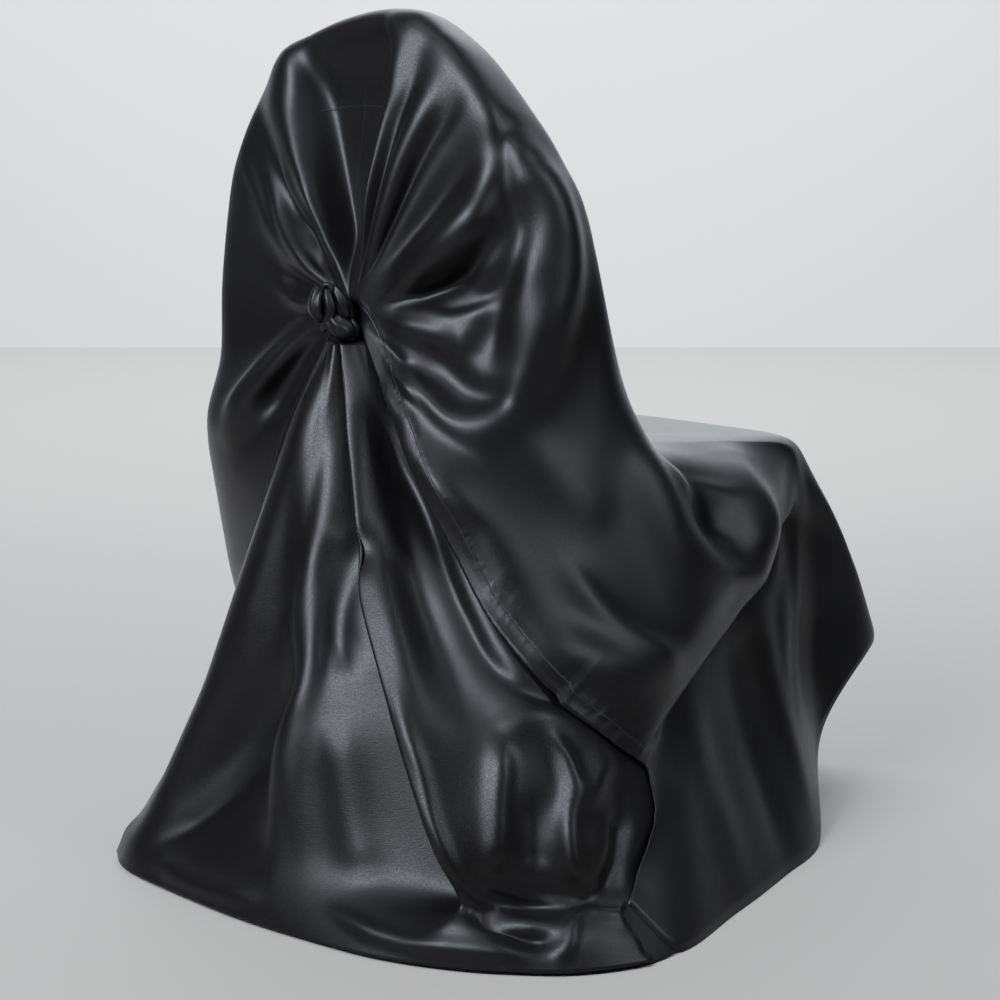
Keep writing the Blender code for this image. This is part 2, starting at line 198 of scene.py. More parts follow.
class Paint:                           # a material with its node tree
    def __init__(self, name):
        self.material = bpy.data.materials.new(name)
        self.material.use_nodes = True
        self.tree = self.material.node_tree
        self.shader = self.tree.nodes["Principled BSDF"]

    def node(self, kind, settings=None, *values, out=0, **named):
        made = self.tree.nodes.new(kind)
        for key, value in (settings or {}).items():
            setattr(made, key, value)
        for place, value in [*enumerate(values), *named.items()]:
            self.plug(made.inputs[place], value)
        return Wire(self, made.outputs[out])

    def plug(self, socket, value):
        if isinstance(value, Wire):
            self.tree.links.new(value.socket, socket)
        else:
            socket.default_value = value

    def mixed(self, share, first, second):
        # two colours, each plain or a wire
        made = self.node("ShaderNodeMix", {"data_type": "RGBA"}, Factor=share, out=2)
        for place, colour in ((6, first), (7, second)):
            self.plug(made.socket.node.inputs[place], colour if isinstance(colour, Wire) else (*colour, 1))
        return made

    def smooth(self, value, low, high):
        return self.node("ShaderNodeMapRange", {"interpolation_type": "SMOOTHSTEP"}, value, low, high, 0, 1)

    def split(self, vector):
        parts = self.node("ShaderNodeSeparateXYZ", None, vector)
        outs = parts.socket.node.outputs
        return [Wire(self, outs[i]) for i in range(3)]


satin = {
    "dark": (.0042, .0034, .0034),
    "light": (.0068, .0064, .0074),
    # the stitches' thread colour, also used as the painted highlight along the pressed lines
    "stitchAndHighlight": (.018, .018, .021),
    "rough": .42,
    "roughSpread": .05,
    "roughClouds": .08,
    "roughGrain": .34,
    "specular": .24,
    "sheen": .012,
    "sheenRough": .45,
    "clouds": 9.0,                     # soft patches a metre
    "grain": 680.0,
    "warp": .6,                        # its share in the weave, the rest is weft
    "bump": (.32, .0007),              # strength, and height in metres
    "threadLong": 90,                  # threads a metre, as the streaks along and across the cloth
    "threadShort": 1500,
    "hemStitch": .020,                 # stitch line's distance from a free edge
    "stitchLine": (.0004, .0012),      # half width of its groove, from full depth to none
    "stitchGap": (.0002, .0006),
    "stitchPitch": .0032,
    "puckerPitch": .011,
    "puckerLength": .030,
    "puckerReach": .010,
}
knotSatin = {"clouds": 60.0, "grain": 900.0, "bump": (.2, .0004)}


def streaks(paint, uv, longScale, shortScale, turned=False):
    scale = (shortScale, longScale, 1) if turned else (longScale, shortScale, 1)
    spot = paint.node("ShaderNodeMapping", None, Vector=uv, Scale=scale)
    return paint.node("ShaderNodeTexNoise", {"noise_dimensions": "2D"}, Vector=spot, Scale=1.0, Detail=2.0)


# lines pressed into the cloth of the recess: a low arch across, and a faint one down; each is raised a little
# in the bump and painted lighter as a painted highlight on its crease
pressed = {
    "arch": {"middle": .033, "half": .058, "top": .834, "drop": .006},
    "down": {"x": .034, "low": .700, "high": .880, "fade": .04, "depth": .35},
    "wide": .0016,
    "behind": .030,                    # only on the back of the hood
    # share of the painted highlight mixed into the colour along the lines
    "paintedHighlight": .30,
    "height": 2,
}


def pressedLines(paint, place):
    x, y, z = paint.split(place)
    x, y, z = x - tableOrigin.x, y - tableOrigin.y, z - tableOrigin.z
    arch, down, wide = pressed["arch"], pressed["down"], pressed["wide"]
    side = (x - arch["middle"]) / arch["half"]
    offArch = abs(z - arch["top"] + side * side * arch["drop"])
    across = (1 - paint.smooth(offArch, 0, wide)) * (1 - paint.smooth(abs(side), .9, 1.0))
    upright = 1 - paint.smooth(abs(x - down["x"]), 0, wide * 2)
    upright = upright * paint.smooth(z, down["low"], down["low"] + down["fade"])
    upright = upright * (1 - paint.smooth(z, down["high"] - down["fade"], down["high"]))
    onBack = paint.smooth(y, pressed["behind"] - .01, pressed["behind"])
    return (across + upright * down["depth"]) * onBack


def stitchedHem(paint, colour, height):
    # the hem's groove, its stitches and its puckers, added to the colour and the height
    hem = paint.node("ShaderNodeUVMap", {"uv_map": "hem"})
    across, along, _ = paint.split(hem)
    away = abs(across - satin["hemStitch"])
    line = 1 - paint.smooth(away, *satin["stitchLine"])
    dash = paint.node("ShaderNodeMath", {"operation": "PINGPONG"}, along, satin["stitchPitch"] / 2)
    thread = line * paint.smooth(dash, *satin["stitchGap"])
    colour = paint.mixed(thread * .5, colour, satin["stitchAndHighlight"])
    spot = paint.node("ShaderNodeCombineXYZ", None,
                      across / satin["puckerLength"], along / satin["puckerPitch"], 0)
    pucker = paint.node("ShaderNodeTexNoise", {"noise_dimensions": "2D"},
                        Vector=spot, Scale=1.0, Detail=1.0)
    band = 1 - paint.smooth(away, 0, satin["puckerReach"])
    return colour, height - line * 5 + thread * 3 + pucker * band * 4


def finishSatin(paint, colour, rough, height, bump):
    strength, distance = bump
    paint.plug(paint.shader.inputs["Base Color"], colour)
    paint.plug(paint.shader.inputs["Roughness"], rough)
    relief = paint.node("ShaderNodeBump", None, Strength=strength, Distance=distance, Height=height)
    paint.plug(paint.shader.inputs["Normal"], relief)
    paint.shader.inputs["Specular IOR Level"].default_value = satin["specular"]
    return paint.material


def satinPaint(name, hood=False):
    paint = Paint(name)
    uv = paint.node("ShaderNodeUVMap", {"uv_map": "cloth"})
    place = paint.node("ShaderNodeTexCoord", None, out=3)
    warp = streaks(paint, uv, satin["threadLong"], satin["threadShort"])
    weft = streaks(paint, uv, satin["threadLong"], satin["threadShort"], turned=True)
    clouds = paint.node("ShaderNodeTexNoise", None, Vector=place, Scale=satin["clouds"], Detail=3.0)
    grain = paint.node("ShaderNodeTexNoise", None, Vector=place, Scale=satin["grain"], Detail=2.0)
    weave = warp * satin["warp"] + weft * (1 - satin["warp"])
    colour = paint.mixed(paint.smooth(clouds * .6 + weave * .4, .3, .7), satin["dark"], satin["light"])
    colour, height = stitchedHem(paint, colour, weave * .7 + grain * .3)
    if hood:
        lines = pressedLines(paint, place)
        # painted highlight: the colour is made lighter along the pressed crease lines
        colour = paint.mixed(lines * pressed["paintedHighlight"], colour, satin["stitchAndHighlight"])
        height = height + lines * pressed["height"]
    rough = (satin["rough"] + (weave - .5) * satin["roughSpread"] + (clouds - .5) * satin["roughClouds"]
             + (grain - .5) * satin["roughGrain"])
    paint.shader.inputs["Sheen Weight"].default_value = satin["sheen"]
    paint.shader.inputs["Sheen Roughness"].default_value = satin["sheenRough"]
    return finishSatin(paint, colour, rough, height, satin["bump"])


# Draping

# A pleat's angle and width are degrees about the gather. Every other measure is in metres, and a
# rise below nought is a hollow.
Pleat = namedtuple("Pleat", "name angle width rise start peak stop")
Fold = namedtuple("Fold", "name points width rise")
Crease = namedtuple("Crease", "name points width rise crest")   # crest 2 is round, 1 is sharp


def between(keys, rows, query):
    # smooth cubic through rows of values at keys
    keys = np.asarray(keys, float)
    rows = np.asarray(rows, float)
    slopes = np.gradient(rows, keys, axis=0)
    spot = np.clip(np.searchsorted(keys, query, side="right") - 1, 0, len(keys) - 2)
    span = keys[spot + 1] - keys[spot]
    f = ((query - keys[spot]) / span).reshape((-1,) + (1,) * (rows.ndim - 1))
    span = span.reshape(f.shape)
    start, end = rows[spot], rows[spot + 1]
    leave, arrive = slopes[spot] * span, slopes[spot + 1] * span
    return (start * (2 * f**3 - 3 * f**2 + 1) + leave * (f**3 - 2 * f**2 + f)
            + end * (3 * f**2 - 2 * f**3) + arrive * (f**3 - f**2))


def walk(stations, steps, bends):
    # points along the path through the stations, each bend rounded over its own half length
    lengths = np.linalg.norm(np.diff(stations, axis=0), axis=1)
    reach = np.concatenate([[0.0], np.cumsum(lengths)])
    spots = [reach[i] + lengths[i] * k / n for i, n in enumerate(steps) for k in range(n)]
    spots = np.array(spots + [reach[-1]])
    half = np.minimum(np.interp(spots, reach, bends), np.minimum(spots, reach[-1] - spots))
    offsets = np.linspace(-1, 1, 15)
    shares = (1 + np.cos(offsets * math.pi)) / 2 + .12
    path = np.zeros((len(spots), 3))
    for share, offset in zip(shares / shares.sum(), offsets):
        for axis in range(3):
            path[:, axis] += share * np.interp(spots + offset * half, reach, stations[:, axis])
    return path


def smoothStep(low, high, value):
    f = np.clip((value - low) / (high - low), 0, 1)
    return f * f * (3 - 2 * f)


def normalsOf(grid):
    across = np.gradient(grid, axis=1)
    down = np.gradient(grid, axis=0)
    out = np.cross(down, across)
    return out / np.maximum(np.linalg.norm(out, axis=2, keepdims=True), 1e-9)


def raised(grid, height, floorFade=.08):
    # the layer turned in behind a fold stays where it is
    out = normalsOf(grid)
    away = grid[..., :2] / np.maximum(np.linalg.norm(grid[..., :2], axis=2, keepdims=True), 1e-6)
    facing = smoothStep(-.55, -.15, np.sum(out[..., :2] * away, axis=2))
    moved = out * (height * facing)[..., None]
    moved[..., 2] *= smoothStep(0, floorFade, grid[..., 2])
    return grid + moved


def placesBetween(columns):
    return np.array([i + k / n for i, n in enumerate(columns) for k in range(n)] + [len(columns)])


def pleatHeight(grid, pleats):
    dx = grid[..., 0] - gather[0]
    dz = grid[..., 2] - gather[2]
    reach = np.hypot(dx, dz)
    turn = np.degrees(np.arctan2(-dx, dz))
    total = np.zeros(reach.shape)
    for p in pleats:
        side = np.clip(np.abs(turn - p.angle) / (1.6 * p.width), 0, 1)
        across = np.cos(side * math.pi / 2) ** 2
        along = smoothStep(p.start, p.peak, reach) * (1 - smoothStep(p.peak, p.stop, reach))
        total += p.rise * across * along
    return total * smoothStep(-.03, .04, grid[..., 1])


def recessHeight(grid):
    # the flat hollow above the gather, between its two lips
    dx = grid[..., 0] - gather[0]
    dz = grid[..., 2] - gather[2]
    reach = np.hypot(dx, dz)
    turn = np.degrees(np.arctan2(-dx, dz))
    inside = smoothStep(*recess["left"], turn) * (1 - smoothStep(*recess["right"], turn))
    along = smoothStep(recess["start"], recess["deep"], reach) * (1 - smoothStep(*recess["top"], reach))
    return recess["depth"] * inside * along * smoothStep(-.03, .04, grid[..., 1])


def foldHeight(grid, folds):
    # soft ridges and troughs along curves that pass through three points
    total = np.zeros(grid.shape[:2])
    t = np.linspace(0, 1, 25)[:, None]
    for fold in folds:
        a, b, c = (np.array(p) for p in fold.points)
        curve = (1 - t)**2 * a + 2 * t * (1 - t) * (2 * b - (a + c) / 2) + t**2 * c
        gap = np.linalg.norm(grid[:, :, None, :] - curve, axis=3)
        near = gap.argmin(axis=2) / 24.0
        fade = np.sin(np.clip(near, .02, .98) * math.pi) ** .5
        total += fold.rise * fade * np.exp(-(gap.min(axis=2) / fold.width) ** 2)
    return total


def laidOn(grid, out, curve):
    # the curve's points moved onto the sheet along its normals
    flat, flatOut = grid.reshape(-1, 3), out.reshape(-1, 3)
    laid = []
    for point in curve:
        at = ((flat - point) ** 2).sum(axis=1).argmin()
        laid.append(point + flatOut[at] * np.dot(flat[at] - point, flatOut[at]))
    return np.array(laid)


def creaseHeight(grid, creases, narrowing=True):
    # finer ridges and creases along smooth curves, narrower and lower towards the gather
    total = np.zeros(grid.shape[:2])
    out = normalsOf(grid)
    scale = np.ones(grid.shape[:2])
    if narrowing:
        scale = np.clip(np.linalg.norm(grid - gather, axis=2) / .16, .35, 1)
    for crease in creases:
        points = np.array(crease.points)
        keys = np.concatenate([[0.0], np.cumsum(np.linalg.norm(np.diff(points, axis=0), axis=1))])
        count = max(12, int(keys[-1] / .006))
        curve = laidOn(grid, out, between(keys, points, np.linspace(0, keys[-1], count)))
        box = ((grid > curve.min(axis=0) - 4 * crease.width)
               & (grid < curve.max(axis=0) + 4 * crease.width)).all(axis=2)
        some = grid[box]
        if not len(some):
            continue
        gaps = np.linalg.norm(some[:, None, :] - curve, axis=2)
        near = gaps.argmin(axis=1) / (count - 1)
        fade = np.clip(np.sin(np.clip(near, .01, .99) * math.pi) * 1.6, 0, 1)
        size = scale[box]
        away = gaps.min(axis=1) / (crease.width * size)
        total[box] += crease.rise * size * fade * np.exp(-away ** crease.crest)
    return total


def relaxed(grid, rounds):
    # evens out the sheet, and its hem along the hem
    for _ in range(rounds):
        inner = (grid[:-2, 1:-1] + grid[2:, 1:-1] + grid[1:-1, :-2] + grid[1:-1, 2:]) / 4
        grid = grid.copy()
        grid[1:-1, 1:-1] = (grid[1:-1, 1:-1] + inner) / 2
        hem = grid[-1, 1:-1] / 2 + (grid[-1, :-2] + grid[-1, 2:]) / 4
        grid[-1, 1:-1] = hem
    return grid


def relaxedNear(grid, middle, reach, rounds):
    # evens out the part of the sheet round one place
    share = np.exp(-(np.linalg.norm((grid - middle) / reach, axis=2) ** 2))[1:-1, 1:-1, None]
    for _ in range(rounds):
        inner = (grid[:-2, 1:-1] + grid[2:, 1:-1] + grid[1:-1, :-2] + grid[1:-1, 2:]) / 4
        grid = grid.copy()
        grid[1:-1, 1:-1] += share * (inner - grid[1:-1, 1:-1]) * .8
    return grid


def runs(grid):
    # distances in metres across and along the sheet, as the cloth's own measure
    across = np.cumsum(np.linalg.norm(np.diff(grid, axis=1, prepend=grid[:, :1]), axis=2), axis=1)
    along = np.cumsum(np.linalg.norm(np.diff(grid, axis=0, prepend=grid[:1]), axis=2), axis=0)
    return across, along


def makeSheet(name, grid, thickness, paint, hems):
    rows, columns = grid.shape[:2]
    bpy.ops.object.select_all(action="DESELECT")
    bpy.ops.mesh.primitive_grid_add(x_subdivisions=columns - 1, y_subdivisions=rows - 1, size=2)
    sheet = bpy.context.object
    sheet.name = name
    mesh = sheet.data
    mesh.name = name
    flat = np.zeros(len(mesh.vertices) * 3)
    mesh.vertices.foreach_get("co", flat)
    flat = flat.reshape(-1, 3)
    column = np.rint((flat[:, 0] + 1) / 2 * (columns - 1)).astype(int)
    row = np.rint((flat[:, 1] + 1) / 2 * (rows - 1)).astype(int)
    places = grid[row, column] + np.array(tableOrigin)
    mesh.vertices.foreach_set("co", places.ravel())
    corner = np.zeros(len(mesh.loops), int)
    mesh.loops.foreach_get("vertex_index", corner)
    across, along = runs(grid)
    for label, (u, v) in {"cloth": (across, along), "hem": hems}.items():
        layer = mesh.uv_layers.get(label) or mesh.uv_layers.new(name=label)
        pairs = np.stack([u[row, column], v[row, column]], axis=1)[corner]
        layer.data.foreach_set("uv", pairs.ravel())
    mesh.uv_layers.remove(mesh.uv_layers["UVMap"])
    mesh.materials.append(paint)
    wall = sheet.modifiers.new("cloth", "SOLIDIFY")
    wall.thickness = thickness
    wall.offset = 0
    bpy.ops.object.modifier_apply(modifier="cloth")
    bpy.ops.object.shade_smooth()
    lowest = min(vertex.co.z for vertex in mesh.vertices)
    mesh.transform(Matrix.Translation((0, 0, -lowest)))
    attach(sheet, "root")
    print(name, "made:", len(mesh.polygons), "faces")
    return sheet


# The cover: hood, seat, skirt and wings in one sheet

# shoulder and brow: hood's back and front edge; foot: where the back meets the seat;
# rim: edge of the seat or swag; under: below it; tuck; shin: half way down; hem
rightLines = {
    "wing hem": ((-.165, .150, .420), (-.245, .157, .326), (-.318, .150, .262), (-.364, .112, .214),
                 (-.388, .072, .180), (-.392, .052, .160), (-.412, .066, .112), (-.436, .156, .048)),
    "wing": ((-.195, .108, .475), (-.264, .066, .405), (-.314, .026, .336), (-.356, -.015, .268),
             (-.366, -.020, .205), (-.345, -.020, .190), (-.404, .010, .110), (-.484, .128, .000)),
    "side": ((-.215, .070, .545), (-.266, -.014, .500), (-.296, -.080, .425), (-.350, -.150, .318),
             (-.340, -.160, .256), (-.296, -.150, .272), (-.366, -.090, .130), (-.464, .010, .000)),
    "swag": ((-.226, .055, .630), (-.250, -.046, .600), (-.240, -.116, .474), (-.328, -.262, .356),
             (-.316, -.262, .290), (-.268, -.250, .306), (-.342, -.190, .140), (-.442, -.115, .000)),
    "seat side": ((-.218, .048, .740), (-.222, -.052, .725), (-.194, -.108, .462), (-.258, -.384, .420),
                  (-.268, -.392, .350), (-.246, -.376, .350), (-.322, -.310, .150), (-.412, -.242, .000)),
    "ear root": ((-.198, .047, .790), (-.194, -.050, .778), (-.170, -.105, .459), (-.248, -.426, .432),
                 (-.257, -.446, .350), (-.254, -.448, .320), (-.276, -.424, .190), (-.316, -.392, .085)),
    "corner": ((-.162, .046, .840), (-.158, -.046, .828), (-.140, -.102, .457), (-.216, -.454, .436),
               (-.244, -.506, .340), (-.256, -.528, .290), (-.271, -.556, .228), (-.282, -.574, .166)),
    "front side": ((-.088, .042, .914), (-.086, -.042, .900), (-.076, -.098, .455), (-.112, -.466, .437),
                   (-.118, -.484, .350), (-.120, -.488, .280), (-.122, -.494, .150), (-.130, -.500, .000)),
    "middle": ((.000, .040, .942), (.000, -.040, .936), (.000, -.098, .455), (.000, -.468, .438),
               (.000, -.484, .350), (.000, -.488, .280), (.000, -.492, .150), (.000, -.498, .000)),
}
leftLines = {
    "left side": ((.242, .072, .545), (.262, -.010, .500), (.272, -.085, .425), (.322, -.155, .318),
                  (.310, -.160, .262), (.276, -.155, .275), (.335, -.120, .130), (.410, -.080, .000)),
    "left wing": ((.212, .112, .470), (.246, .084, .440), (.258, .056, .370), (.262, .034, .290),
                  (.256, .020, .240), (.240, .015, .215), (.274, .020, .110), (.316, .060, .000)),
    "left wing hem": ((.062, .124, .470), (.080, .130, .400), (.100, .128, .330), (.118, .124, .272),
                      (.135, .118, .240), (.150, .112, .205), (.170, .120, .110), (.190, .190, .000)),
}
leftReach = {"swag": .258, "seat side": .247, "ear root": .230, "corner": .200, "front side": .126}

cover = {
    "thickness": .0016,
    "ring": (.011, .012),              # half width and height of the gathered ring
    "columns": (28, 12, 16, 22, 16, 14, 20, 24, 26, 20, 10, 10, 16, 14, 12, 24),
    "steps": (44, 14, 22, 20, 12, 10, 18, 12),
    "bends": (.015, .040, .036, .045, .030, .014, .014, .034, .004),
    "evened": (2, 8),                  # rounds before and after the creases
    "flat": (1.9, 1.35),
    "area": 1.75,
}

coverPleats = (
    Pleat("recess lip", -30, 5, .024, .050, .140, .460),
    Pleat("left pleat", -38, 5, .010, .040, .140, .360),
    Pleat("left valley", -47, 4, -.014, .030, .120, .320),
    Pleat("left ridges", -60, 7, .012, .030, .090, .240),
    Pleat("left low hollow", -74, 7, -.008, .030, .080, .180),
    Pleat("left loop", -86, 6, .008, .020, .070, .140),
    Pleat("right lip", 6, 4, .020, .030, .130, .400),
    Pleat("right broad pleat", 17, 5, .012, .030, .130, .340),
    Pleat("right crease", 22.5, 3, -.006, .030, .120, .300),
    Pleat("right hollow", 38, 6, -.010, .040, .160, .300),
    Pleat("right plateau", 56, 9, .014, .040, .140, .240),
    Pleat("right side hollow", 76, 7, -.012, .040, .130, .220),
)
recess = {                             # its sides in degrees about the gather, and reaches in metres
    "left": (-31, -22),
    "right": (1, 7),
    "depth": -.030,
    "start": .02,
    "deep": .10,
    "top": (.24, .315),
}
coverFolds = (
    Fold("hood side ridge", ((-.215, .000, .758), (-.232, .012, .673), (-.236, .035, .566)), .024, .012),
    Fold("hood side hollow", ((-.190, .034, .790), (-.210, .046, .735), (-.205, .058, .672)), .024, -.010),
    Fold("sling ridge", ((-.085, .096, .574), (-.160, .104, .508), (-.222, .076, .506)), .016, .014),
    Fold("sling hollow", ((-.100, .090, .592), (-.162, .092, .540), (-.208, .072, .536)), .015, -.014),
    Fold("sling side", ((-.222, .076, .506), (-.236, .045, .550), (-.240, .022, .605)), .016, .010),
    Fold("pillow", ((-.064, .092, .604), (-.098, .084, .598), (-.138, .078, .590)), .016, .014),
    Fold("long hollow", ((-.186, .058, .740), (-.154, .069, .673), (-.076, .087, .626)), .015, -.014),
    Fold("wing band", ((-.070, .108, .556), (-.163, .130, .455), (-.266, .124, .345)), .030, .012),
    Fold("wing foot", ((-.287, .146, .296), (-.342, .076, .268), (-.360, -.050, .248)), .030, .012),
    Fold("wing front ridge", ((-.270, -.070, .470), (-.318, -.075, .390), (-.356, -.085, .310)), .032, .022),
    Fold("swag hollow", ((-.262, -.150, .460), (-.306, -.180, .385), (-.345, -.165, .300)), .032, -.020),
    Fold("swag ridge", ((-.262, -.260, .428), (-.306, -.268, .380), (-.338, -.240, .300)), .028, .012),
    Fold("left wing ridge", ((.047, .093, .600), (.110, .108, .533), (.176, .116, .462)), .016, .016),
    Fold("left wing hollow", ((.045, .095, .582), (.092, .110, .515), (.150, .120, .436)), .015, -.012),
    Fold("seat crease", ((-.060, -.180, .455), (-.130, -.300, .445), (-.215, -.330, .438)), .020, -.005),
    Fold("skirt fold 1", ((-.300, -.290, .280), (-.330, -.280, .160), (-.400, -.240, .010)), .022, .006),
    Fold("skirt fold 2", ((-.330, -.190, .220), (-.370, -.180, .120), (-.430, -.150, .010)), .024, -.007),
    Fold("skirt fold 3", ((-.360, -.080, .200), (-.390, -.060, .110), (-.450, -.040, .010)), .024, .006),
    Fold("front fold 1", ((-.120, -.484, .300), (-.125, -.492, .160), (-.130, -.500, .010)), .030, .014),
    Fold("front fold 2", ((.020, -.486, .330), (.030, -.492, .160), (.040, -.498, .010)), .030, -.012),
    Fold("front fold 3", ((.130, -.486, .300), (.140, -.492, .160), (.150, -.500, .010)), .030, .014),
)
